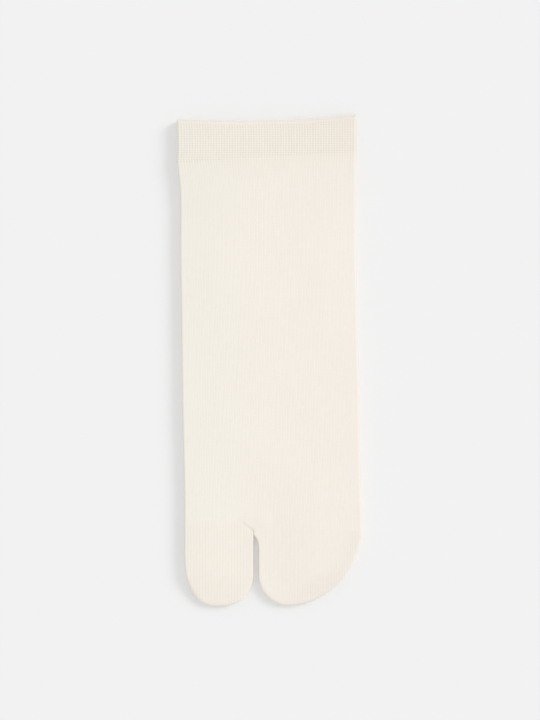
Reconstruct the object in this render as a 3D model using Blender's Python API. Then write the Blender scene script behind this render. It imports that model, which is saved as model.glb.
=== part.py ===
"""A pair of knitted split-toe socks, laid flat one on the other.

Frame, in metres: +X runs from the big toe of the upper sock to its little toe, +Y from the toe tips
to the cuffs, and +Z up. The origin is on the surface that the pair lies on, under the middle of it.

The upper sock is the left one, with its instep up. The lower one is the right sock, turned over, so
that the two outlines match and the soles face each other. Each sock is a tube pressed flat: its two
panels lie on each other and turn round a small fold at each side. Sizes along a sock are measured
up from its toe tips, and sizes across it from its middle.
"""

import math

import bmesh
import bpy

MM = 0.001

# Driving dimensions.
SOCK_LENGTH = 272.0 * MM  # toe tips to the highest corner of the rim
HALF_WIDTH = 51.3 * MM  # widest at the cuff on one side and at the little toe on the other
FABRIC = 1.0 * MM  # one layer of the plain knit
RIB_FABRIC = 1.2 * MM  # one layer of the ribbed cuff
INSIDE_GAP = 0.4 * MM  # between the two panels of a flat tube
SEAM_GAP = 0.3 * MM  # between one piece and the next

# The cuff: its lower seam is a slanted line, and its rim a shallow curve.
CUFF_SEAM = 247.2 * MM  # height of the seam at the middle of the sock
CUFF_SLANT = 0.06  # rise of the seam for each unit across
RIM_SAG = 3.9 * MM  # how far the lowest point of the rim is below its right corner
RIM_LOW_X = -20.0 * MM
RIM_STEP = 1.3 * MM  # the front panel's rim is this much below the back panel's
CUFF_RIGHT = 48.0 * MM
SLANT_FROM = 215.0 * MM  # the rows of the leg start to follow the slanted seam here

# Both edges of the leg and foot. Columns: height, left edge, right edge.
BODY_EDGES = (
    (41.0 * MM, -46.9 * MM, 51.0 * MM),
    (47.0 * MM, -46.9 * MM, HALF_WIDTH),
    (60.0 * MM, -46.9 * MM, 50.7 * MM),
    (80.0 * MM, -47.3 * MM, 50.1 * MM),
    (113.0 * MM, -48.0 * MM, 49.7 * MM),
    (158.0 * MM, -48.6 * MM, 48.6 * MM),
    (196.0 * MM, -49.1 * MM, 48.0 * MM),
    (236.0 * MM, -49.7 * MM, 47.8 * MM),
    (CUFF_SEAM, -51.0 * MM, 47.9 * MM),
)
# Both edges of the cuff. Columns: share of its height, left edge, right edge.
CUFF_EDGES = (
    (0.0, -HALF_WIDTH, CUFF_RIGHT),
    (0.3, -50.8 * MM, CUFF_RIGHT),
    (0.7, -50.9 * MM, CUFF_RIGHT),
    (1.0, -HALF_WIDTH, CUFF_RIGHT),
)

# The seam between the foot and the toe pockets is level, but it climbs over the big toe.
TOE_SEAM = 41.0 * MM
SEAM_RISE = 6.5 * MM
RISE_FROM_X = -8.6 * MM
RISE_TO_X = -17.1 * MM
RISE_FADE = 25.0 * MM  # rows this far from the seam are level again

# The toe pockets: each end is two quarter superellipses about the pocket's lowest point.
BIG_TOE_LOW_X = -27.85 * MM
BIG_TOE_OUTER = {"across": 19.05 * MM, "up": 30.0 * MM, "power": 2.6}
BIG_TOE_INNER = {"across": 19.05 * MM, "up": 18.0 * MM, "power": 2.3}
TOES_LOW_X = 10.2 * MM
TOES_INNER = {"across": 16.2 * MM, "up": 16.0 * MM, "power": 2.0}
TOES_OUTER = {"across": 41.1 * MM, "up": 47.0 * MM, "power": 2.0}
SPLIT_LEAN_FROM = 24.0 * MM  # above this the split narrows towards its top
SPLIT_LEAN = 2.4 * MM
TIP_FLAT = 0.2 * MM  # a pocket's last ring is this far inside its true tip

# The heel pocket, pressed flat between the two socks and folded up towards the cuff.
HEEL_FOLD = 166.0 * MM
HEEL_TIP = 221.0 * MM
HEEL_FOLD_HALF = 30.0 * MM
HEEL_TIP_HALF = 20.0 * MM
HEEL_POWER = 2.8
HEEL_THICK = 1.0 * MM  # two layers, pressed
HEEL_POINTS = 28

# How the upper sock lies over the two heel pockets.
BULGE_HALF_X = 31.0 * MM
BULGE_FALL_X = 17.0 * MM
BULGE_FROM = 164.0 * MM
BULGE_TO = 223.0 * MM
BULGE_FALL_Y = 25.0 * MM

# Where the rings and columns of the meshes are.
BODY_ROWS = tuple(
    row * MM
    for row in (41.3, 50, 62, 80, 112, 139, 146, 152, 158, 165, 194, 223, 230, 237, 242)
) + (CUFF_SEAM - SEAM_GAP,)
CUFF_SHARES = (0.0, 0.3, 0.7, 0.94, 1.0)
POCKET_ROWS = tuple(row * MM for row in (0, 0.5, 1.4, 3.2, 6, 10, 15, 21, 28, 34.5))
FOLD_STEPS = 2  # steps in a quarter of a side fold
PLAIN_COLUMNS = (0.0, 0.25, 0.5, 0.75, 1.0)
BODY_LEFT_COLUMNS = (0.0, 0.045, 0.09, 0.135, 0.18)
BODY_RIGHT_COLUMNS = (0.6, 0.82, 0.865, 0.91, 0.955, 1.0)

# Heights of the stack.
BODY_HALF = FABRIC + INSIDE_GAP / 2
CUFF_HALF = RIB_FABRIC + INSIDE_GAP / 2
BULGE = 2 * (HEEL_THICK + SEAM_GAP)
LOWER_HEEL_Z = 2 * BODY_HALF + SEAM_GAP
UPPER_HEEL_Z = LOWER_HEEL_Z + HEEL_THICK + SEAM_GAP

# Linear base colour of each kind of piece.
COLOURS = {
    "cuff": (0.80, 0.745, 0.665),
    "body": (0.85, 0.80, 0.715),
    "big_toe": (0.84, 0.79, 0.70),
    "toes": (0.84, 0.79, 0.70),
    "heel": (0.84, 0.79, 0.70),
}


def clear_scene():
    for thing in list(bpy.data.objects):
        bpy.data.objects.remove(thing)


def ease(value):
    """0 below 0, 1 above 1, and a smooth step between."""
    value = min(1.0, max(0.0, value))
    return value * value * (3 - 2 * value)


def between(table, at):
    """The two edges that a table gives at a height, in straight lines between its rows."""
    for low, high in zip(table, table[1:]):
        if at <= high[0]:
            break
    share = min(1.0, max(0.0, (at - low[0]) / (high[0] - low[0])))
    return [a + share * (b - a) for a, b in zip(low[1:], high[1:])]


# Heights of a flat tube's middle surface, above the surface that the pair lies on.


def lower_middle(half):
    """The lower sock lies flat, so its underside is at height 0."""
    return lambda x, y: half


def upper_middle(half):
    """The upper sock lies on the lower one, over the heel pockets, and rises to the thicker cuff."""
    body_rest = 3 * BODY_HALF + SEAM_GAP
    cuff_rest = 3 * CUFF_HALF + SEAM_GAP

    def height(x, y):
        if half == CUFF_HALF:
            return cuff_rest
        across = ease((BULGE_HALF_X + BULGE_FALL_X - abs(x)) / BULGE_FALL_X)
        below = ease((y - BULGE_FROM + BULGE_FALL_Y) / BULGE_FALL_Y)
        above = ease((BULGE_TO + BULGE_FALL_Y - y) / BULGE_FALL_Y)
        to_cuff = ease((y - SLANT_FROM) / (CUFF_SEAM - SLANT_FROM))
        return body_rest + BULGE * across * below * above + (cuff_rest - body_rest) * to_cuff

    return height


# Rings: closed loops of points round a flat tube.


def flat_ring(left, right, half, columns):
    """(x, z, whether it is on the upper panel), once round: left fold, upper panel, right, lower."""
    ring = []
    for step in range(FOLD_STEPS):
        angle = math.pi - math.pi / 2 * step / FOLD_STEPS
        ring.append((left + half + half * math.cos(angle), half * math.sin(angle)))
    flat_left, flat_right = left + half, right - half
    upper = [(flat_left + share * (flat_right - flat_left), half) for share in columns]
    ring += upper
    for step in range(1, 2 * FOLD_STEPS):
        angle = math.pi / 2 - math.pi / 2 * step / FOLD_STEPS
        ring.append((right - half + half * math.cos(angle), half * math.sin(angle)))
    ring += [(x, -z) for x, z in reversed(upper)]
    for step in range(1, FOLD_STEPS):
        angle = -math.pi / 2 - math.pi / 2 * step / FOLD_STEPS
        ring.append((left + half + half * math.cos(angle), half * math.sin(angle)))
    return ring


def placed(ring, row_height, middle):
    """The ring's points in space: row_height(x, z) gives y, and middle(x, y) the height of z = 0."""
    points = []
    for x, z in ring:
        y = row_height(x, z)
        points.append((x, y, middle(x, y) + z))
    return points


def body_row(height):
    """How high a row of the leg and foot is: it follows the toe seam below, and the cuff's above."""
    slant = CUFF_SLANT * ease((height - SLANT_FROM) / (CUFF_SEAM - SLANT_FROM))
    return lambda x, z: height + slant * x + seam_lean(height, x)


def seam_lean(height, x):
    """How much higher a row is at x because of the climb in the toe seam."""
    share = min(1.0, max(0.0, (RISE_FROM_X - x) / (RISE_FROM_X - RISE_TO_X)))
    return SEAM_RISE * share * max(0.0, 1 - abs(height - TOE_SEAM) / RISE_FADE)


def column_at(x, edges):
    """The share of a ring's flat stretch that puts a column at x."""
    left, right = edges
    return (x - left - BODY_HALF) / (right - left - 2 * BODY_HALF)


def cuff_row(share, front_up):
    """How high a row of the cuff is: from its slanted seam to its curved rim."""
    rim_reach = CUFF_RIGHT - RIM_LOW_X

    def height(x, z):
        seam = CUFF_SEAM + CUFF_SLANT * x
        rim = SOCK_LENGTH - RIM_SAG * (1 - ((x - RIM_LOW_X) / rim_reach) ** 2)
        front = 0.5 + 0.5 * (z if front_up else -z) / CUFF_HALF
        return seam + share * (rim - RIM_STEP * front - seam)

    return height


def quarter(shape, height, wall):
    """Distance from a pocket's lowest point to its edge, at a height, with a wall taken off."""
    up = shape["up"] - wall
    fall = min(1.0, max(0.0, (shape["up"] - height) / up))
    return (shape["across"] - wall) * (1 - fall ** shape["power"]) ** (1 / shape["power"])


def big_toe_edges(height, wall):
    left = BIG_TOE_LOW_X - quarter(BIG_TOE_OUTER, height, wall)
    return left, BIG_TOE_LOW_X + quarter(BIG_TOE_INNER, height, wall)


def toes_edges(height, wall):
    lean_reach = TOE_SEAM - SPLIT_LEAN_FROM
    lean = SPLIT_LEAN * max(0.0, (height - SPLIT_LEAN_FROM) / lean_reach) ** 3
    left = TOES_LOW_X - quarter(TOES_INNER, height, wall) - lean
    return left, TOES_LOW_X + quarter(TOES_OUTER, height, wall)


# Pieces.


def skin(bm, rings):
    """Quads between neighbouring rings, and the rings' own vertices."""
    loops = [[bm.verts.new(point) for point in ring] for ring in rings]
    for low, high in zip(loops, loops[1:]):
        join(bm, low, high)
    return loops


def join(bm, one, other):
    count = len(one)
    for i in range(count):
        after = (i + 1) % count
        bm.faces.new((one[i], one[after], other[after], other[i]))


def finished(bm, name, kind, sock):
    """The mesh as an object, with its faces out and its own material, under its sock's empty."""
    bmesh.ops.recalc_face_normals(bm, faces=bm.faces)
    mesh = bpy.data.meshes.new(name)
    bm.to_mesh(mesh)
    bm.free()
    mesh.shade_smooth()
    mesh.set_sharp_from_angle(angle=math.radians(50))
    material = bpy.data.materials.new(name)
    material.use_nodes = True
    shader = material.node_tree.nodes["Principled BSDF"]
    shader.inputs["Base Color"].default_value = (*COLOURS[kind], 1.0)
    shader.inputs["Roughness"].default_value = 0.95
    shader.inputs["Metallic"].default_value = 0.0
    mesh.materials.append(material)
    piece = bpy.data.objects.new(name, mesh)
    bpy.context.scene.collection.objects.link(piece)
    piece.parent = sock
    return piece


def open_tube(name, kind, sock, outer, inner):
    """A wall with two open ends, from two lists of rings."""
    bm = bmesh.new()
    outer_loops = skin(bm, outer)
    inner_loops = skin(bm, inner)
    join(bm, outer_loops[0], inner_loops[0])
    join(bm, outer_loops[-1], inner_loops[-1])
    return finished(bm, name, kind, sock)


def pocket(name, kind, sock, edges, columns, middle):
    """A wall that is closed at the toe tip and open at the seam with the foot."""
    skins = []
    for wall, half in ((0.0, BODY_HALF), (FABRIC, BODY_HALF - FABRIC)):
        rings = []
        for row in POCKET_ROWS + (TOE_SEAM,):
            height = row + wall * (1 - row / TOE_SEAM)
            left, right = edges(height + TIP_FLAT, wall)
            depth = min(1.0, (height - wall + TIP_FLAT) / half)
            rounded = half * math.sqrt(depth * (2 - depth))
            ring = flat_ring(left, right, rounded, columns)
            rings.append(placed(ring, lambda x, z, y=height: y + seam_lean(y, x), middle))
        skins.append(rings)
    bm = bmesh.new()
    outer_loops, inner_loops = [skin(bm, rings) for rings in skins]
    join(bm, outer_loops[-1], inner_loops[-1])
    bm.faces.new(outer_loops[0])
    bm.faces.new(inner_loops[0])
    return finished(bm, name, kind, sock)


def body(name, sock, middle):
    seam_edges = between(BODY_EDGES, TOE_SEAM)
    seam_columns = (column_at(RISE_TO_X, seam_edges), column_at(RISE_FROM_X, seam_edges))
    columns = BODY_LEFT_COLUMNS + seam_columns + BODY_RIGHT_COLUMNS
    skins = []
    for wall in (0.0, FABRIC):
        rings = []
        for row in BODY_ROWS:
            left, right = between(BODY_EDGES, row)
            ring = flat_ring(left + wall, right - wall, BODY_HALF - wall, columns)
            rings.append(placed(ring, body_row(row), middle))
        skins.append(rings)
    return open_tube(name, "body", sock, *skins)


def cuff(name, sock, middle, front_up):
    skins = []
    for wall in (0.0, RIB_FABRIC):
        rings = []
        for share in CUFF_SHARES:
            left, right = between(CUFF_EDGES, share)
            ring = flat_ring(left + wall, right - wall, CUFF_HALF - wall, PLAIN_COLUMNS)
            rings.append(placed(ring, cuff_row(share, front_up), middle))
        skins.append(rings)
    return open_tube(name, "cuff", sock, *skins)


def heel_loop(inset, z):
    """The outline of the pressed heel pocket: a rounded shape, wider at its fold than at its tip."""
    centre = (HEEL_FOLD + HEEL_TIP) / 2
    reach = (HEEL_TIP - HEEL_FOLD) / 2 - inset
    points = []
    for step in range(HEEL_POINTS):
        angle = 2 * math.pi * step / HEEL_POINTS
        across = math.copysign(abs(math.cos(angle)) ** (2 / HEEL_POWER), math.cos(angle))
        up = math.copysign(abs(math.sin(angle)) ** (2 / HEEL_POWER), math.sin(angle))
        half = HEEL_FOLD_HALF + (HEEL_TIP_HALF - HEEL_FOLD_HALF) * (up + 1) / 2 - inset
        points.append((half * across, centre + reach * up, z))
    return points


def heel(name, sock, base):
    """Two pressed layers in one solid: its rim is rounded twice, with a groove between."""
    layer = HEEL_THICK / 2
    rim = (  # height, inset
        (0.0, layer),
        (0.3 * layer, 0.25 * layer),
        (0.6 * layer, 0.0),
        (layer, 0.6 * layer),
        (1.4 * layer, 0.0),
        (1.7 * layer, 0.25 * layer),
        (2.0 * layer, layer),
    )
    bm = bmesh.new()
    loops = skin(bm, [heel_loop(inset, base + height) for height, inset in rim])
    bm.faces.new(loops[0])
    bm.faces.new(loops[-1])
    return finished(bm, name, "heel", sock)


def build_sock(side, middle_of, heel_z, front_up):
    """All the pieces of one sock, in the pair's own heights, under one empty."""
    sock = bpy.data.objects.new(f"{side}_sock", None)
    sock.location = (0.0, -SOCK_LENGTH / 2, 0.0)
    bpy.context.scene.collection.objects.link(sock)
    middle = middle_of(BODY_HALF)
    corner = column_at(RISE_TO_X, big_toe_edges(TOE_SEAM, 0.0))
    big_toe_columns = (0.0, corner / 3, 2 * corner / 3, corner, 1.0)
    cuff(f"{side}_cuff", sock, middle_of(CUFF_HALF), front_up)
    body(f"{side}_body", sock, middle)
    pocket(f"{side}_big_toe", "big_toe", sock, big_toe_edges, big_toe_columns, middle)
    pocket(f"{side}_toes", "toes", sock, toes_edges, PLAIN_COLUMNS, middle)
    heel(f"{side}_heel", sock, heel_z)


def main():
    clear_scene()
    build_sock("left", upper_middle, UPPER_HEEL_Z, front_up=True)
    build_sock("right", lower_middle, LOWER_HEEL_Z, front_up=False)


main()
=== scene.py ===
"""Looks for a pair of knitted split-toe socks that lie flat, the left one on the right one.

Every piece is a knitted wall: an outer skin with its wales as real ridges, an inner skin, and a
rounded or closed end. Each takes the place of one solid of the frame. Sizes across a sock are x, from
its middle, and sizes along it are counted up from its toe tips, towards the cuff.
"""

import math

import bpy
import numpy as np
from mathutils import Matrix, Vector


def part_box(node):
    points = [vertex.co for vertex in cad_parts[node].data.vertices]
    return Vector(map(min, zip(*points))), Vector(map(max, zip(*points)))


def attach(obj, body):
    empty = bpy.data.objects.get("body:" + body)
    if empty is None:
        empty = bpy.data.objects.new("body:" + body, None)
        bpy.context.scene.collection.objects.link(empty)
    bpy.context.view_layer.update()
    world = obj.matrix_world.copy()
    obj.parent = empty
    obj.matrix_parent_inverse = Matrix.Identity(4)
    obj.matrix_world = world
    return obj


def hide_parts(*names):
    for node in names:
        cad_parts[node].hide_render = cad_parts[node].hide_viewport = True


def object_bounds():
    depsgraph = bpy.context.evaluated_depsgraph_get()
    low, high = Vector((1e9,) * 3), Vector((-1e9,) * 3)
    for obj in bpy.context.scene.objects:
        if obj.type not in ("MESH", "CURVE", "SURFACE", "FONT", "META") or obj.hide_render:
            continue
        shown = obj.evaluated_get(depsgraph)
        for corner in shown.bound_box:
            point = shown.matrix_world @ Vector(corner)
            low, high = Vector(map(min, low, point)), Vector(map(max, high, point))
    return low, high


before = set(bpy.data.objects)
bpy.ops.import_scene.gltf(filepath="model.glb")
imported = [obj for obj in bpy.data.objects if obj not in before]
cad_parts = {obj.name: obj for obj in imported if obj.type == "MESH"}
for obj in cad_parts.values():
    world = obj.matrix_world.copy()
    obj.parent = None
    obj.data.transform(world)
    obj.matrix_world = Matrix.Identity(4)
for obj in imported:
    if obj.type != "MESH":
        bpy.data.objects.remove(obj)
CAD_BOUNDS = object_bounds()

MM = 0.001


def node_box(node):
    return [np.array(corner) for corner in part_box(node)]


# Sizes from the frame.
WHOLE_LOW, WHOLE_HIGH = [np.array(corner) for corner in CAD_BOUNDS]
CUFF_LOW, CUFF_HIGH = node_box("left_cuff")
BIG_TOE_LOW, BIG_TOE_HIGH = node_box("left_big_toe")
TOES_LOW, TOES_HIGH = node_box("left_toes")
HEEL_LOW, HEEL_HIGH = node_box("left_heel")

TIP_Y = WHOLE_LOW[1]
HALF_WIDTH = (WHOLE_HIGH[0] - WHOLE_LOW[0]) / 2
SOCK_LENGTH = WHOLE_HIGH[1] - TIP_Y
TOE_SEAM = TOES_HIGH[1] - TIP_Y
SEAM_RISE = BIG_TOE_HIGH[1] - TOES_HIGH[1]
BODY_HALF = (BIG_TOE_HIGH[2] - BIG_TOE_LOW[2]) / 2
CUFF_HALF = (CUFF_HIGH[2] - CUFF_LOW[2]) / 2
BODY_REST = (BIG_TOE_HIGH[2] + BIG_TOE_LOW[2]) / 2  # height of the upper sock's middle
CUFF_REST = (CUFF_HIGH[2] + CUFF_LOW[2]) / 2
HEEL_FOLD = HEEL_LOW[1] - TIP_Y
HEEL_TIP = HEEL_HIGH[1] - TIP_Y
HEEL_FOLD_HALF = (HEEL_HIGH[0] - HEEL_LOW[0]) / 2 + 3.7 * MM  # before its corners are rounded
HEEL_TIP_HALF = 20.0 * MM

# The outline.
FABRIC = 1.0 * MM
RIB_FABRIC = 1.1 * MM
CUFF_SEAM = 247.2 * MM
CUFF_SLANT = 0.06
RIM_TOP = SOCK_LENGTH - 0.4 * MM
RIM_SAG = 3.9 * MM  # how far the lowest point of the rim is below its right corner
RIM_LOW_X = -20.0 * MM
CUFF_RIGHT = CUFF_HIGH[0]
SLANT_FROM = 215.0 * MM  # from here the leg rises to the cuff's height, and its rows to its slant
RISE_FROM_X = -8.6 * MM
RISE_TO_X = -17.1 * MM
RISE_FADE = 25.0 * MM
BODY_EDGES = np.array((  # along, left edge, right edge
    (41.0 * MM, -46.9 * MM, 51.0 * MM),
    (47.0 * MM, -46.9 * MM, HALF_WIDTH),
    (60.0 * MM, -46.9 * MM, 50.7 * MM),
    (80.0 * MM, -47.3 * MM, 50.1 * MM),
    (113.0 * MM, -48.0 * MM, 49.7 * MM),
    (158.0 * MM, -48.6 * MM, 48.6 * MM),
    (196.0 * MM, -49.1 * MM, 48.0 * MM),
    (236.0 * MM, -49.7 * MM, 47.8 * MM),
    (CUFF_SEAM, -51.0 * MM, 47.9 * MM),
))
CUFF_EDGES = np.array((  # share of the cuff's height, left edge, right edge
    (0.0, -HALF_WIDTH, CUFF_RIGHT),
    (0.3, -50.8 * MM, CUFF_RIGHT),
    (0.7, -50.9 * MM, CUFF_RIGHT),
    (1.0, -HALF_WIDTH, CUFF_RIGHT),
))
BIG_TOE_MIDDLE = (BIG_TOE_LOW[0] + BIG_TOE_HIGH[0]) / 2
BIG_TOE_REACH = (BIG_TOE_HIGH[0] - BIG_TOE_LOW[0]) / 2
BIG_TOE_OUTER = {"across": BIG_TOE_REACH, "up": 30.0 * MM, "power": 2.6}
BIG_TOE_INNER = {"across": BIG_TOE_REACH, "up": 18.0 * MM, "power": 2.3}
TOES_LOW_X = 10.2 * MM
TOES_INNER = {"across": 16.2 * MM, "up": 16.0 * MM, "power": 2.0}
TOES_OUTER = {"across": 41.1 * MM, "up": 47.0 * MM, "power": 2.05}
SPLIT_LEAN_FROM = 24.0 * MM
SPLIT_CLOSED = 38.6 * MM  # above here the two pockets' sides touch
SPLIT_LEAN = 2.62 * MM
BIG_TOE_LEAN = 0.12 * MM
BIG_TOE_LONGER = 0.5 * MM  # than the four toes
TIP_REACH = 20.0 * MM
TAPER = 3.4 * MM  # a pocket thins over this length at its tip

# The knit. Every row of the leg has as many wales, and each of the cuff's ribs stands on one of them.
WALES = 136
COURSE = 1.28 * MM
TOE_WALE = 1.62 * MM
PLAIN_DEPTH = 0.028 * MM
TOE_DEPTH = 0.12 * MM
HEEL_DEPTH = 0.03 * MM
HEEL_WALES = 72
RIB_DEPTH = 0.19 * MM
RIB_FADE = 5.0 * MM  # the ribs run on below the cuff for this far

# How the pair is pressed, and how the upper sock lies over the two folded heels.
HEEL_LAYER = 0.40 * MM
HEEL_THICK = 0.84 * MM
PINCH = 0.15  # where the heels lie, each sock's two panels close up by this share
HEEL_GAP = 0.02 * MM
HEEL_TOP_GAP = 0.03 * MM
LOWER_HEEL_Z = 2 * BODY_HALF * (1 - PINCH) + HEEL_GAP
UPPER_HEEL_Z = LOWER_HEEL_Z + HEEL_THICK + HEEL_GAP
HEEL_LIFT = UPPER_HEEL_Z + HEEL_THICK + HEEL_TOP_GAP + BODY_HALF * (1 - PINCH) - BODY_REST
HEEL_EDGE = 51.0 * MM  # the lift over the heels starts this far from the middle
HEEL_SLOPE = 25.0 * MM  # and is whole this much nearer to it
LEFT_FOLD = 3.4  # how square the pressed folds are, where 2 is round
RIGHT_FOLD = 2.3
POCKET_FOLD = 3.0  # along the left of the four toes and the right of the big toe
CLOSED_FOLD = 10.0  # where those two meet
TOES_FOLD = 2.5
PANEL_BOW = 0.35 * MM  # how far the top panel springs up along its middle
SPLIT_X = -7.5 * MM
SPLIT_PRESS = 0.32  # how much flatter the pair is beside the split
TIP_PRESS = 0.36  # and at its tips


def ease(value):
    """0 below 0, 1 above 1, and a smooth step between."""
    value = np.clip(value, 0.0, 1.0)
    return value * value * (3 - 2 * value)


def read(table, at):
    """The left and right edge that a table gives, on a smooth curve through its rows."""
    places = table[:, 0]
    row = np.clip(np.searchsorted(places, at) - 1, 0, len(places) - 2)
    step = places[row + 1] - places[row]
    t = np.clip((at - places[row]) / step, 0.0, 1.0)
    edges = []
    for column in (1, 2):
        values = table[:, column]
        slopes = np.gradient(values, places)
        low, high = values[row], values[row + 1]
        swing = low * (2 * t**3 - 3 * t**2 + 1) + high * (3 * t**2 - 2 * t**3)
        bend = slopes[row] * (t**3 - 2 * t**2 + t) + slopes[row + 1] * (t**3 - t**2)
        edges.append(swing + bend * step)
    return edges


def waver(x, along, length, seed):
    """A smooth uneven field between about -1 and 1, whose waves are about this long."""
    random = np.random.default_rng(seed)
    total = 0.0
    for _ in range(6):
        turn, phase = random.uniform(0, 2 * math.pi, 2)
        wave = 2 * math.pi / (length * random.uniform(0.7, 1.6))
        total = total + np.sin(wave * (x * math.cos(turn) + along * math.sin(turn)) + phase)
    return total / 3.5


def spot(x, along, at_x, at_along, size):
    return np.exp(-(((x - at_x) / size) ** 2) - ((along - at_along) / size) ** 2)


# Rows along the sock -------------------------------------------------------------------------


def seam_rise(x):
    """How much higher the toe seam is at x than over the four toes."""
    return SEAM_RISE * np.clip((RISE_FROM_X - x) / (RISE_FROM_X - RISE_TO_X), 0.0, 1.0)


def body_along(base, x, _):
    """How far up the sock a row of the leg and foot is at x: it follows both seams."""
    slant = CUFF_SLANT * ease((base - SLANT_FROM) / (CUFF_SEAM - SLANT_FROM))
    return base + slant * x + seam_rise(x) * np.clip(1 - (base - TOE_SEAM) / RISE_FADE, 0, 1)


def pocket_along(longer):
    """The same for a pocket whose tip reaches this far past the frame's tip."""
    def along(base, x, _):
        rise = seam_rise(x) * np.clip(1 - (TOE_SEAM - base) / RISE_FADE, 0, 1)
        return base + rise - longer * ease(1 - base / TIP_REACH)

    return along


def quarter(shape, along, inset):
    """How far a pocket's rounded end reaches sideways at this height."""
    up = shape["up"] - inset
    fall = np.clip((shape["up"] - along) / up, 0.0, 1.0)
    return (shape["across"] - inset) * (1 - fall ** shape["power"]) ** (1 / shape["power"])


def split_lean(along):
    """How far the pockets' sides have leant together at this height, from 0 to 1."""
    return np.clip((along - SPLIT_LEAN_FROM) / (SPLIT_CLOSED - SPLIT_LEAN_FROM), 0.0, 1.0) ** 6


def big_toe_edges(along, inset):
    left = BIG_TOE_MIDDLE - quarter(BIG_TOE_OUTER, along, inset)
    right = BIG_TOE_MIDDLE + quarter(BIG_TOE_INNER, along, inset)
    return left, right + BIG_TOE_LEAN * split_lean(along)


def toes_edges(along, inset):
    left = TOES_LOW_X - quarter(TOES_INNER, along, inset) - SPLIT_LEAN * split_lean(along)
    return left, TOES_LOW_X + quarter(TOES_OUTER, along, inset)


# Heights -------------------------------------------------------------------------------------


def heel_lift(x, along):
    """How much of the heels' thickness lifts the upper sock here, from 0 to 1."""
    across = ease((HEEL_EDGE - np.abs(x)) / HEEL_SLOPE)
    below = ease((along - HEEL_FOLD + 32.0 * MM) / (32.0 * MM))
    above = ease((HEEL_TIP + 23.0 * MM - along) / (23.0 * MM))
    return across * below * above


def pressed(x, along):
    """The share of its full height that the pair keeps: the toes lie flatter beside their split."""
    by_split = ease(1 - np.abs(x - SPLIT_X) / (34 * MM)) * ease(1 - (along - 34 * MM) / (55 * MM))
    by_tip = ease(1 - along / TIP_REACH)
    return 1 - SPLIT_PRESS * by_split - TIP_PRESS * by_tip * (1 - by_split)


def upper_height(x, along, z, out_z, _):
    """World height of a point of the upper sock, whose own middle is z = 0."""
    to_cuff = ease((along - SLANT_FROM) / (CUFF_SEAM - SLANT_FROM))
    lift = heel_lift(x, along)
    middle = BODY_REST + (CUFF_REST - BODY_REST) * to_cuff + HEEL_LIFT * lift
    ends = ease((along - 8.0 * MM) / (45.0 * MM)) * ease((SOCK_LENGTH - along) / (60.0 * MM))
    bow = PANEL_BOW * np.clip(1 - (x / HALF_WIDTH) ** 2, 0.0, 1.0) * ends * (1 - 0.6 * lift)
    return (middle + z * (1 - PINCH * lift) + bow * (out_z > 0.5)) * pressed(x, along)


def lower_height(x, along, z, _, half):
    """The lower sock's underside is flat on the surface that it lies on."""
    pinched = 1 - PINCH * heel_lift(x, along)
    return np.maximum(z + half, 0.0) * pinched * pressed(x, along)


HEIGHTS = {"left": upper_height, "right": lower_height}


# Relief --------------------------------------------------------------------------------------


def wale_ridge(wale):
    """1 along the middle of each wale and 0 in the valleys between. wale is a running number."""
    return 1 - (2 * (wale % 1.0) - 1) ** 2


def rib_relief(x, along, wale):
    """The cuff's ribs, which lean a little together in pairs, crossed by their courses."""
    ribs = 0.5 - 0.5 * np.cos(2 * math.pi * wale)
    lean = np.cos(math.pi * wale) ** 2 * np.sign(np.cos(math.pi * wale))
    courses = 0.5 + 0.5 * np.cos(2 * math.pi * along / COURSE)
    uneven = 1 + 0.2 * waver(x, along, 9 * MM, 3)
    return RIB_DEPTH * uneven * (ribs * (0.85 + 0.15 * lean) - 1 + 0.28 * (courses - 1))


def gore(x, along):
    """1 on the slanting seam at the top of the toe split, falling to 0 beside it."""
    from_seam = along - TOE_SEAM - seam_rise(x)
    on_slant = ease((RISE_FROM_X + 1.5 * MM - x) / (2.5 * MM)) * ease((x + 20.5 * MM) / (11 * MM))
    return np.exp(-((from_seam / (0.75 * MM)) ** 2)) * on_slant


def seam_end_and_pit_shade(x, along):
    """A dark spot at the end of the gore's seam, where it dips: partly its dark thread, partly
    painted shade in the pit.
    """
    return 0.8 * spot(x, along, -9.2 * MM, 41.0 * MM, 1.0 * MM)


def split_form(side, x, along, out_z):
    """The groove of the gore, the dip at its end, and the fullness above them on the instep."""
    dip = spot(x, along, -9.6 * MM, 41.6 * MM, 1.3 * MM)
    full = 0.65 * spot(x, along, -4.0 * MM, 46.5 * MM, 4.8 * MM)
    full = full + 0.25 * spot(x, along, -11.5 * MM, 49.0 * MM, 3.6 * MM)
    is_instep = (out_z > 0) & (side == "left")
    return (np.where(is_instep, full, 0.0) - 0.13 * gore(x, along) - 0.15 * dip) * MM * np.abs(out_z)


# Meshes --------------------------------------------------------------------------------------


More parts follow.
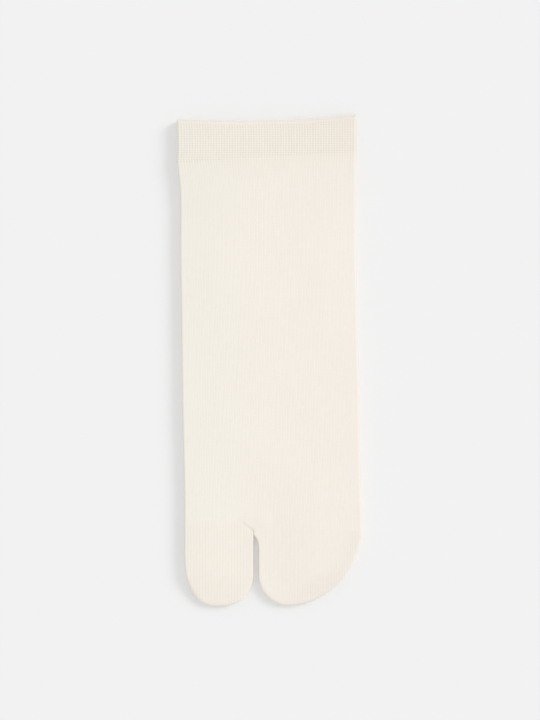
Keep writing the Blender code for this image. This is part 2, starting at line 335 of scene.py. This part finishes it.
def ring(left, right, half, reach, around, squares):
    """Points once round a flat tube: x, z and the outward direction's x and z.

    It starts in the middle of the left fold and goes over the upper panel. around runs from 0 to 1.
    reach is how far in a fold's rounding goes. A fold whose square is 2 is round, and one whose
    square is larger is squarer.
    """
    arc = math.pi * half
    flat = right - left - 2 * reach
    at = around * (2 * flat + 2 * arc)
    on_upper = (at >= arc / 2) & (at < arc / 2 + flat)
    on_right = (at >= arc / 2 + flat) & (at < 1.5 * arc + flat)
    on_lower = (at >= 1.5 * arc + flat) & (at < 1.5 * arc + 2 * flat)
    last = at >= 1.5 * arc + 2 * flat
    angle = np.where(at < arc / 2, math.pi - at / half, 0.0)
    angle = np.where(on_right, math.pi / 2 - (at - arc / 2 - flat) / half, angle)
    angle = np.where(last, -math.pi / 2 - (at - 1.5 * arc - 2 * flat) / half, angle)
    power = 2 / np.where(on_right, squares[1], squares[0])
    across = np.sign(np.cos(angle)) * np.abs(np.cos(angle)) ** power
    up = np.sign(np.sin(angle)) * np.abs(np.sin(angle)) ** power
    x = np.where(on_right, right - reach + across * reach, left + reach + across * reach)
    x = np.where(on_upper, left + reach + at - arc / 2, x)
    x = np.where(on_lower, right - reach - (at - 1.5 * arc - flat), x)
    z = np.where(on_upper, half, np.where(on_lower, -half, up * half))
    out_x = np.where(on_upper | on_lower, 0.0, np.cos(angle))
    out_z = np.where(on_upper, 1.0, np.where(on_lower, -1.0, np.sin(angle)))
    return x, z, out_x, out_z


def lay_out(spec):
    """Points, knit coordinates and looks for one piece, each as a grid of rows by columns + 1.

    spec["rows"] has (base along, inset from the outer surface, share of the relief) for each ring.
    """
    base, inset, share = [np.array(column)[:, None] for column in zip(*spec["rows"])]
    around = np.arange(spec["columns"] + 1)[None] / spec["columns"]
    whole_half = spec["half"](base)
    half, reach = whole_half - inset, spec["reach"](base) - inset
    left, right = spec["edges"](base, inset)
    x, z, out_x, out_z = ring(left, right, half, reach, around, spec["squares"](base))
    along = spec["along"](base, x, z / whole_half)
    relief, wale, looks = spec["relief"](x, along, around, out_z)
    x = x + out_x * relief * share
    z = spec["height"](x, along, z + out_z * relief * share, out_z, whole_half)
    points = np.stack([x, TIP_Y + along, z], -1)
    knit = np.stack([wale + 0 * along, along / COURSE + 0 * x], -1)
    return points, knit, {name: values + 0 * x for name, values in looks.items()}


def strip(index, low, high):
    """Quads between two rows of a grid of indices, whose last column is one past the others."""
    sides = [index[low, :-1], index[low, 1:], index[high, 1:], index[high, :-1]]
    return np.stack(sides, -1).reshape(-1, 4)


def fan(row, hub, flip):
    """Triangles that close a ring of indices, whose last is its first again, on a hub."""
    sides = (row[1:], row[:-1]) if flip else (row[:-1], row[1:])
    return np.stack([np.full(len(row) - 1, hub), *sides], -1)


def grid_mesh(name, spec):
    """A closed mesh from rows of rings, with its knit map and its looks.

    A tube's last row joins its first. A pocket's two ends are each closed by a fan of triangles.
    """
    points, knit, looks = lay_out(spec)
    rows, columns = points.shape[0], points.shape[1] - 1
    points = points[:, :-1]
    index = np.arange(rows * columns).reshape(rows, columns)
    index = np.concatenate([index, index[:, :1]], axis=1)
    knit_index = np.arange(rows * (columns + 1)).reshape(rows, columns + 1)
    low, high = np.arange(rows - 1), np.arange(1, rows)
    if spec["is_tube"]:
        low, high = np.arange(rows), (np.arange(rows) + 1) % rows
    quads, quad_knit = strip(index, low, high), strip(knit_index, low, high)
    vertices, uvs = [points.reshape(-1, 3)], [knit.reshape(-1, 2)]
    fans, fan_knit = np.empty((0, 3), int), np.empty((0, 3), int)
    if not spec["is_tube"]:
        for end, row in ((0, 0), (1, rows - 1)):
            vertices.append(points[row].mean(axis=0)[None])
            uvs.append(knit[row].mean(axis=0)[None])
            closing = fan(index[row], rows * columns + end, flip=end == 0)
            closing_knit = fan(knit_index[row], knit_index.size + end, flip=end == 0)
            fans = np.concatenate([fans, closing])
            fan_knit = np.concatenate([fan_knit, closing_knit])
    mesh = bpy.data.meshes.new(name)
    mesh.from_pydata(np.concatenate(vertices).tolist(), [], quads.tolist() + fans.tolist())
    corners = np.concatenate([quad_knit.reshape(-1), fan_knit.reshape(-1)])
    layer = mesh.uv_layers.new(name="knit")
    layer.uv.foreach_set("vector", np.concatenate(uvs)[corners].astype(np.float32).reshape(-1))
    for look, values in looks.items():
        flat = np.zeros(len(mesh.vertices), np.float32)
        flat[: rows * columns] = values[:, :-1].reshape(-1)
        mesh.attributes.new(look, "FLOAT", "POINT").data.foreach_set("value", flat)
    mesh.shade_smooth()
    mesh.set_sharp_from_angle(angle=math.radians(70))
    return mesh


def cloth_area(edges, start, end):
    """Flat area of both panels of a flat tube between two heights."""
    left, right = edges(np.linspace(start, end, 200), 0.0)
    return 2 * float(np.mean(right - left)) * (end - start)


def piece(name, node, material, spec, area):
    """Makes a piece in the place of a node of the frame. The area of its cloth is not used."""
    mesh = grid_mesh(name, spec)
    mesh.materials.append(material)
    made = bpy.data.objects.new(name, mesh)
    bpy.context.scene.collection.objects.link(made)
    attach(made, "root")
    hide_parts(node)


# Pieces --------------------------------------------------------------------------------------


def tube_edges(table):
    def edges(base, inset):
        left, right = read(table, base)
        return left + inset, right - inset

    return edges


def spaced(start, end, fine, coarse, ramp):
    """Heights from start to end: fine steps at both ends, and coarse ones over a ramp's length in."""
    places = [start]
    while places[-1] < end - fine:
        near = min(places[-1] - start, end - places[-1])
        places.append(places[-1] + fine + (coarse - fine) * float(ease(near / ramp)))
    places[-1] = end
    return places


def rim_height(x):
    return RIM_TOP - RIM_SAG * (1 - ((x - RIM_LOW_X) / (CUFF_RIGHT - RIM_LOW_X)) ** 2)


def cuff_along(side):
    """Rows from the slanted seam to the curved rim, which is lower at the front than at the back."""
    def along(base, x, z_share):
        seam = CUFF_SEAM + CUFF_SLANT * x
        front = 0.5 + 0.5 * (z_share if side == "left" else -z_share)
        step = (0.9 + 1.3 * ease((x + 40 * MM) / (85 * MM))) * MM
        return seam + base * (rim_height(x) - step * front - RIB_FABRIC / 2 - seam)

    return along


def make_cuff(side, material):
    height = SOCK_LENGTH - CUFF_SEAM

    def relief(x, along, around, out_z):
        welt = ease((along - rim_height(x) + 3.4 * MM) / (1.0 * MM))
        ribs = rib_relief(x, along, around * WALES) * (1 - 0.5 * welt)
        # Paler along the welt under the rim, more so towards the right: a painted highlight where the
        # rounded rim catches the light.
        rim_highlight = welt * (0.4 + 0.8 * ease((x + 45 * MM) / (25 * MM)))
        looks = {"rib": 1 - 0.6 * welt, "tone": 1 - rim_highlight, "ridge": 1.0, "seam": 0.0}
        return ribs, around * WALES, looks

    # The outer skin, the rounded rim, and the inner skin, whose ribs show only near the rim.
    rows = [(share, 0.0, 1.0) for share in np.linspace(0, 1, 84)]
    for turn in np.linspace(0, math.pi, 8)[1:-1]:
        lift = RIB_FABRIC / 2 * math.sin(turn) / height
        inset = RIB_FABRIC / 2 * (1 - math.cos(turn))
        rows.append((1 + lift, inset, 1.0))
    rows += [(share, RIB_FABRIC, 1.0) for share in np.linspace(1, 0.75, 22)]
    rows += [(share, RIB_FABRIC, 0.0) for share in np.linspace(0.7, 0, 5)]
    spec = {
        "rows": rows, "columns": WALES * 5, "is_tube": True, "edges": tube_edges(CUFF_EDGES),
        "half": lambda base: CUFF_HALF + 0 * base, "reach": lambda base: CUFF_HALF + 0 * base,
        "squares": lambda base: (LEFT_FOLD, RIGHT_FOLD), "along": cuff_along(side), "relief": relief,
        "height": HEIGHTS[side],
    }
    area = 2 * (CUFF_RIGHT + HALF_WIDTH) * (height - RIM_SAG / 2)
    piece(f"{side}_ribbed_cuff", f"{side}_cuff", material, spec, area)


def make_body(side, material):
    def half(base):
        return BODY_HALF + (CUFF_HALF - BODY_HALF) * ease((base - CUFF_SEAM) / (5 * MM) + 1)

    def relief(x, along, around, out_z):
        wale = around * WALES
        below_cuff = CUFF_SEAM + CUFF_SLANT * x - along
        ribs = ease(1 - below_cuff / RIB_FADE)
        plain = PLAIN_DEPTH * (1 + 0.7 * waver(x, along, 16 * MM, 5)) * (wale_ridge(wale) - 1)
        total = plain * (1 - ribs) + ribs * rib_relief(x, along, wale)
        total = total + split_form(side, x, along, out_z)
        if side == "left":
            hold = ease((along - TOE_SEAM) / (12 * MM)) * ease(below_cuff / (12 * MM))
            total = total + (out_z > 0.5) * hold * 0.09 * MM * waver(x, along, 42 * MM, 11)
        # Darker just below the cuff, fading down the leg: painted shade.
        near = (11 + 9 * ease(0.5 - x / (60 * MM))) * MM
        tone = 0.65 * ease(1 - below_cuff / near) + 0.65 * ease(1 - below_cuff / (55 * MM))
        looks = {"rib": ribs, "tone": tone, "ridge": 0.0, "seam": gore(x, along) + seam_end_and_pit_shade(x, along)}
        return total, wale, looks

    edges = tube_edges(BODY_EDGES)
    heights = spaced(TOE_SEAM, CUFF_SEAM, 0.4 * MM, 1.75 * MM, 14 * MM)
    rows = [(at, 0.0, 1.0) for at in heights]
    rows += [(at, FABRIC, 0.0) for at in np.linspace(CUFF_SEAM, TOE_SEAM, 22)]
    spec = {
        "rows": rows, "columns": WALES * 4, "is_tube": True, "edges": edges, "half": half,
        "reach": half, "squares": lambda base: (LEFT_FOLD, RIGHT_FOLD), "along": body_along,
        "relief": relief, "height": HEIGHTS[side],
    }
    piece(f"{side}_knit_body", f"{side}_body", material, spec,
          cloth_area(edges, TOE_SEAM, CUFF_SEAM))


def pocket_half(base):
    """A pocket thins towards its tip."""
    deep = np.clip((np.maximum(base, 0.0) + 0.02 * MM) / TAPER, 0.0, 1.0)
    return BODY_HALF * (deep * (2 - deep)) ** 0.5


def pocket_reach(base):
    """Its folds are broad near its tip, and as tight as the leg's at its seam."""
    broad = BODY_HALF + (TAPER - BODY_HALF) * ease(1 - (base - 4 * MM) / (14 * MM))
    return np.minimum(broad, pocket_half(base) * 3)


def fold_square(base, on_side, at_seam):
    """How square a pocket's fold is: round at the tip, then as on its side, and last at its seam."""
    square = 2 + (on_side - 2) * ease((base - 6 * MM) / (16 * MM))
    return square + (at_seam - on_side) * ease(1 - (TOE_SEAM - base) / (3 * MM))


def make_pocket(side, kind, edges, wale_of, ridge_of, columns, squares, longer, material):
    def relief(x, along, _, out_z):
        wale, ridge = wale_of(x), ridge_of(x, along)
        depth = PLAIN_DEPTH + (TOE_DEPTH - PLAIN_DEPTH) * ridge
        depth = depth * (1 + 0.25 * waver(x, along, 11 * MM, 8)) * pocket_half(along) / BODY_HALF
        total = depth * (wale_ridge(wale) - 1) * np.abs(out_z)
        looks = {"rib": 0.0, "tone": 0.0, "ridge": ridge, "seam": gore(x, along) + seam_end_and_pit_shade(x, along)}
        return total + split_form(side, x, along, out_z), wale, looks

    rows = [(share * TOE_SEAM, 0.0, 1.0) for share in np.linspace(0, 1, 84) ** 1.7]
    inner = [share * (TOE_SEAM - TAPER) + TAPER for share in np.linspace(1, 0, 12) ** 1.5]
    rows += [(at, FABRIC, 0.0) for at in inner]
    spec = {
        "rows": rows, "columns": columns, "is_tube": False,
        "edges": lambda base, inset: edges(base + 0.05 * MM, inset), "half": pocket_half,
        "reach": pocket_reach, "squares": squares, "along": pocket_along(longer), "relief": relief,
        "height": HEIGHTS[side],
    }
    area = cloth_area(edges, 0.0, TOE_SEAM)
    if kind == "big_toe":
        area += 2 * SEAM_RISE * (RISE_TO_X - BIG_TOE_LOW[0])
    piece(f"{side}_knit_{kind}", f"{side}_{kind}", material, spec, area)


def make_big_toe(side, material):
    make_pocket(
        side, "big_toe", big_toe_edges, columns=196, longer=BIG_TOE_LONGER, material=material,
        wale_of=lambda x: (x - BIG_TOE_LOW[0]) / TOE_WALE,
        ridge_of=lambda x, along: ease((TOE_SEAM + seam_rise(x) - along) / (5 * MM)),
        squares=lambda base: (fold_square(base, LEFT_FOLD, LEFT_FOLD),
                              fold_square(base, POCKET_FOLD, CLOSED_FOLD)),
    )


def make_toes(side, material):
    seam_left, seam_right = [float(edge) for edge in read(BODY_EDGES, TOE_SEAM)]
    seam_wale = (2 * (seam_right - seam_left - 2 * BODY_HALF) + 2 * math.pi * BODY_HALF) / WALES

    def wale_of(x):
        """The wales of the foot run straight on into this pocket."""
        return (math.pi * BODY_HALF / 2 + x - seam_left - BODY_HALF) / seam_wale

    def ridge_of(x, along):
        """The wales stand out only in the band along the outer curve."""
        out = ((x - TOES_LOW_X) / TOES_OUTER["across"]) ** 2 * (x > TOES_LOW_X)
        out = out + (1 - along / TOES_OUTER["up"]) ** 2
        return ease((out - 0.5) / 0.35) * ease((x + 2 * MM) / (24 * MM))

    make_pocket(
        side, "toes", toes_edges, columns=336, longer=0.0, material=material,
        wale_of=wale_of, ridge_of=ridge_of,
        squares=lambda base: (fold_square(base, POCKET_FOLD, CLOSED_FOLD),
                              fold_square(base, TOES_FOLD, RIGHT_FOLD)),
    )


def heel_edges(base, inset):
    share = np.clip((base - HEEL_FOLD) / (HEEL_TIP - HEEL_FOLD), 0.0, 1.0)
    bow = np.clip(np.abs(2 * share - 1), 0.0, 0.999)
    across = HEEL_FOLD_HALF + (HEEL_TIP_HALF - HEEL_FOLD_HALF) * share
    reach = across * (1 - bow**2.8) ** (1 / 2.8) - inset
    return -reach, reach


def make_heel(side, bottom, material):
    """The heel pocket, pressed flat: two layers that meet in a fold all round."""
    half = HEEL_THICK / 2

    def relief(x, along, around, out_z):
        looks = {"rib": 0.0, "tone": 0.0, "ridge": 0.0, "seam": 0.0}
        wale = around * HEEL_WALES
        return HEEL_DEPTH * (wale_ridge(wale) - 1), wale, looks

    outer = np.linspace(HEEL_TIP - 0.5 * MM, HEEL_FOLD + 3.0 * MM, 30)
    rows = [(at, 0.0, 1.0) for at in outer]
    rows += [(at, HEEL_LAYER, 0.0) for at in outer[::-1][:-2]]
    spec = {
        "rows": rows, "columns": 216, "is_tube": False, "edges": heel_edges,
        "half": lambda base: half + 0 * base, "reach": lambda base: half + 0 * base,
        "squares": lambda base: (2.0, 2.0), "along": lambda base, x, z_share: base + 0 * x,
        "relief": relief,
        "height": lambda x, along, z, out_z, half_here: bottom + half + z,
    }
    piece(f"{side}_folded_heel", f"{side}_heel", material, spec,
          cloth_area(heel_edges, HEEL_FOLD, HEEL_TIP))


# Materials -----------------------------------------------------------------------------------


class Nodes:
    """Short names for adding nodes to one material."""

    def __init__(self, name):
        self.material = bpy.data.materials.new(name)
        self.material.use_nodes = True
        self.tree = self.material.node_tree
        self.shader = self.tree.nodes["Principled BSDF"]

    def add(self, kind, **settings):
        node = self.tree.nodes.new(kind)
        for key, value in settings.items():
            setattr(node, key, value)
        return node

    def feed(self, socket, value):
        if isinstance(value, bpy.types.NodeSocket):
            self.tree.links.new(value, socket)
        else:
            socket.default_value = value

    def math(self, operation, one, two=0.0, three=0.0):
        node = self.add("ShaderNodeMath", operation=operation)
        for socket, value in zip(node.inputs, (one, two, three)):
            self.feed(socket, value)
        return node.outputs[0]

    def blend(self, share, one, two):
        """one where share is 0 and two where it is 1, for plain numbers."""
        node = self.add("ShaderNodeMix", data_type="FLOAT")
        for socket, value in zip(("Factor", "A", "B"), (share, one, two)):
            self.feed(node.inputs[socket], value)
        return node.outputs["Result"]

    def tint(self, share, one, two):
        """The same for colours."""
        node = self.add("ShaderNodeMix", data_type="RGBA")
        for socket, value in zip(("Factor", "A", "B"), (share, one, two)):
            if isinstance(value, tuple):
                value = (*value, 1.0)
            self.feed([s for s in node.inputs if s.name == socket and s.enabled][0], value)
        return [s for s in node.outputs if s.enabled][0]

    def look(self, name):
        return self.add("ShaderNodeAttribute", attribute_name=name).outputs["Fac"]

    def noise(self, scale, detail=2.0, stretch=(1.0, 1.0, 1.0)):
        where = self.add("ShaderNodeTexCoord").outputs["Object"]
        mapping = self.add("ShaderNodeMapping")
        self.feed(mapping.inputs["Vector"], where)
        mapping.inputs["Scale"].default_value = stretch
        node = self.add("ShaderNodeTexNoise")
        self.feed(node.inputs["Vector"], mapping.outputs[0])
        node.inputs["Scale"].default_value = scale
        node.inputs["Detail"].default_value = detail
        return node.outputs["Fac"]


def stitch_height(n, wale, course):
    """The V-shaped stitches of a knitted wale, 0 to 1: two slanting legs with a groove between."""
    off_centre = n.math("ABSOLUTE", n.math("SUBTRACT", n.math("FRACT", wale), 0.5))
    from_middle = n.math("MULTIPLY", off_centre, 2.0)
    slanted = n.math("SUBTRACT", course, n.math("MULTIPLY", from_middle, 0.8))
    leg = n.math("ABSOLUTE", n.math("SUBTRACT", n.math("FRACT", slanted), 0.5))
    yarn = n.math("SUBTRACT", 1.0, n.math("MULTIPLY", n.math("MULTIPLY", leg, leg), 4.0))
    off_leg = n.math("SUBTRACT", n.math("MULTIPLY", from_middle, 2.0), 1.0)
    leg_shape = n.math("SUBTRACT", 1.0, n.math("MULTIPLY", off_leg, off_leg))
    both = n.math("MULTIPLY", yarn, leg_shape)
    return n.math("ADD", n.math("MULTIPLY", both, 0.7), n.math("MULTIPLY", leg_shape, 0.3))


def loop_height(n, wale, course):
    """The arched loops of the ribs' courses, 0 to 1."""
    centre = n.math("SUBTRACT", n.math("FRACT", wale), 0.5)
    arched = n.math("ADD", course, n.math("MULTIPLY", n.math("MULTIPLY", centre, centre), 1.2))
    loop = n.math("ABSOLUTE", n.math("SUBTRACT", n.math("FRACT", arched), 0.5))
    return n.math("SUBTRACT", 1.0, n.math("MULTIPLY", n.math("MULTIPLY", loop, loop), 4.0))


IVORY = (0.831, 0.775, 0.703)
IVORY_COOL = (0.825, 0.787, 0.713)
SHADE = (0.25, 0.17, 0.08)  # what every darker part of the knit leans towards: its painted shade, the cuff's darker tone and the flecks
# How much darker the cuff and the leg just below it are: partly the cuff's own colour, partly painted
# shade.
CUFF_SHADE = 0.029
RIDGE_SHADE = 0.012
PLAIN_VALLEY_SHADE = 0.007  # painted shade in the valley between two wales
RIDGE_VALLEY_SHADE = 0.056
RIDGE_WARMTH = 0.6
SEAM_BROWN = (0.56, 0.46, 0.34)


def knit_material(name, stitch_depth):
    """Matte cotton knit: stitches drawn on the knit map, uneven yarn, faint flecks, painted shade in
    the valleys and stitch gaps, and a painted highlight along the cuff's rim.
    """
    n = Nodes(name)
    split = n.add("ShaderNodeSeparateXYZ")
    n.feed(split.inputs[0], n.add("ShaderNodeUVMap", uv_map="knit").outputs[0])
    wale, course = split.outputs["X"], split.outputs["Y"]
    rib, tone, ridge, seam = [n.look(look) for look in ("rib", "tone", "ridge", "seam")]
    stitch = n.blend(rib, stitch_height(n, wale, course), loop_height(n, wale, course))
    fibre = n.noise(1500.0, 3.0)
    lumps = n.noise(420.0, 2.0, (1.0, 0.45, 1.0))
    height = n.math("ADD", stitch, n.math("MULTIPLY", n.math("ADD", fibre, lumps), 0.35))

    place = n.add("ShaderNodeSeparateXYZ")
    n.feed(place.inputs[0], n.add("ShaderNodeTexCoord").outputs["Object"])
    across = n.math("MULTIPLY_ADD", place.outputs["X"], 0.5 / HALF_WIDTH, 0.5)
    uneven = n.math("MULTIPLY_ADD", n.noise(22.0, 2.0), 0.5, -0.25)
    warmer = n.math("MULTIPLY", n.math("SUBTRACT", ridge, rib), RIDGE_WARMTH)
    across = n.math("ADD", across, n.math("MAXIMUM", warmer, 0.0))
    colour = n.tint(n.math("ADD", across, uneven), IVORY_COOL, IVORY)
    # Painted shade in the valleys between wales, stronger where the wales stand out.
    off_centre = n.math("ABSOLUTE", n.math("SUBTRACT", n.math("FRACT", wale), 0.5))
    valley = n.math("POWER", n.math("MULTIPLY", off_centre, 2.0), 3.0)
    loss = n.math("MULTIPLY", valley, n.blend(ridge, PLAIN_VALLEY_SHADE, RIDGE_VALLEY_SHADE))
    # The cuff's darker tone, partly its own colour and partly painted shade, and painted shade on the
    # leg just below the cuff.
    loss = n.math("ADD", loss, n.math("MULTIPLY", tone, CUFF_SHADE))
    loss = n.math("ADD", loss, n.math("MULTIPLY", ridge, RIDGE_SHADE))
    flecks = n.math("MULTIPLY_ADD", lumps, 0.05, -0.025)
    loss = n.math("ADD", loss, flecks)
    # Painted shade in the gaps between the stitches, more in the ribs.
    stitch_gap_shade = n.math("MULTIPLY", n.math("SUBTRACT", 1.0, stitch), n.blend(rib, 0.02, 0.05))
    loss = n.math("ADD", loss, stitch_gap_shade)
    colour = n.tint(loss, colour, SHADE)
    # The gore's seam, darker in its thread, and the dark spot at its end, which is partly painted
    # shade in the pit there.
    colour = n.tint(n.math("MULTIPLY", seam, 0.25), colour, SEAM_BROWN)
    n.feed(n.shader.inputs["Base Color"], colour)

    bump = n.add("ShaderNodeBump")
    bump.inputs["Strength"].default_value = 0.9
    bump.inputs["Distance"].default_value = stitch_depth
    n.feed(bump.inputs["Height"], height)
    n.feed(n.shader.inputs["Normal"], bump.outputs[0])
    n.feed(n.shader.inputs["Roughness"], n.math("MULTIPLY_ADD", fibre, 0.12, 0.84))
    n.shader.inputs["Specular IOR Level"].default_value = 0.15
    n.shader.inputs["Sheen Weight"].default_value = 0.05
    n.shader.inputs["Sheen Roughness"].default_value = 0.5
    return n.material


def plain_material(name, colour):
    n = Nodes(name)
    n.shader.inputs["Base Color"].default_value = (*colour, 1.0)
    n.shader.inputs["Roughness"].default_value = 1.0
    n.shader.inputs["Specular IOR Level"].default_value = 0.0
    return n.material


# Stage ---------------------------------------------------------------------------------------

FLOOR_TONE = 0.80
SHOWN_FLOOR = 0.888  # the floor's brightness in the picture
KEY_SHARE = 0.16  # of the floor's light
SKY_SHARE = 0.565  # the top lamp gives what these two leave
KEY_ELEVATION = math.radians(29.5)
KEY_TURN = math.radians(28)  # from +X towards +Y
KEY_SPREAD = 26  # degrees
TOP_ELEVATION = math.radians(86)
TOP_TURN = math.radians(255)
TOP_SPREAD = 12
FLOOR_REACH = 40.0
FLOOR_DROP = 0.05 * MM
LENS = 85.0
SENSOR = 36.0
VIEW_HEIGHT = 397.4 * MM  # of what the camera sees at the socks
AIM = (0.33 * MM, -0.7 * MM)


def add_sun(name, share, elevation, turn, spread):
    """A sun lamp that gives this share of the floor's light. Its spread is in degrees."""
    lamp = bpy.data.lights.new(name, "SUN")
    light = SHOWN_FLOOR / FLOOR_TONE * share
    lamp.energy = light * math.pi / math.sin(elevation)
    lamp.angle = math.radians(spread)
    made = bpy.data.objects.new(name, lamp)
    made.rotation_euler = (0.0, math.pi / 2 - elevation, turn)
    bpy.context.scene.collection.objects.link(made)


def make_stage():
    mesh = bpy.data.meshes.new("floor")
    size, z = FLOOR_REACH, WHOLE_LOW[2] - FLOOR_DROP
    corners = [(-size, -size, z), (size, -size, z), (size, size, z), (-size, size, z)]
    mesh.from_pydata(corners, [], [(0, 1, 2, 3)])
    mesh.materials.append(plain_material("floor", (FLOOR_TONE,) * 3))
    floor = bpy.data.objects.new("floor", mesh)
    bpy.context.scene.collection.objects.link(floor)

    world = bpy.data.worlds.new("studio")
    bpy.context.scene.world = world
    world.use_nodes = True
    sky = world.node_tree.nodes["Background"]
    sky.inputs["Color"].default_value = (1.0, 1.0, 1.0, 1.0)
    sky.inputs["Strength"].default_value = SHOWN_FLOOR / FLOOR_TONE * SKY_SHARE
    add_sun("key", KEY_SHARE, KEY_ELEVATION, KEY_TURN, KEY_SPREAD)
    add_sun("top", 1 - KEY_SHARE - SKY_SHARE, TOP_ELEVATION, TOP_TURN, TOP_SPREAD)


def make_camera():
    data = bpy.data.cameras.new("camera")
    data.lens = LENS
    data.sensor_width = SENSOR
    distance = VIEW_HEIGHT / 2 / (SENSOR / 2 / LENS)
    camera = bpy.data.objects.new("camera", data)
    camera.location = (AIM[0], AIM[1], BODY_REST + distance)
    bpy.context.scene.collection.objects.link(camera)
    bpy.context.scene.camera = camera


def main():
    leg = knit_material("plain_knit", stitch_depth=0.05 * MM)
    toe = knit_material("toe_knit", stitch_depth=0.055 * MM)
    rib = knit_material("rib_knit", stitch_depth=0.10 * MM)
    for side in ("right", "left"):
        def below(name):
            return [f"right_{name}"] if side == "left" else []

        make_body(side, leg)
        make_cuff(side, rib)
        make_big_toe(side, toe)
        make_toes(side, toe)
    make_heel("right", LOWER_HEEL_Z, leg)
    make_heel("left", UPPER_HEEL_Z, leg)
    make_stage()
    make_camera()
    bpy.context.scene.view_settings.view_transform = "Standard"


main()
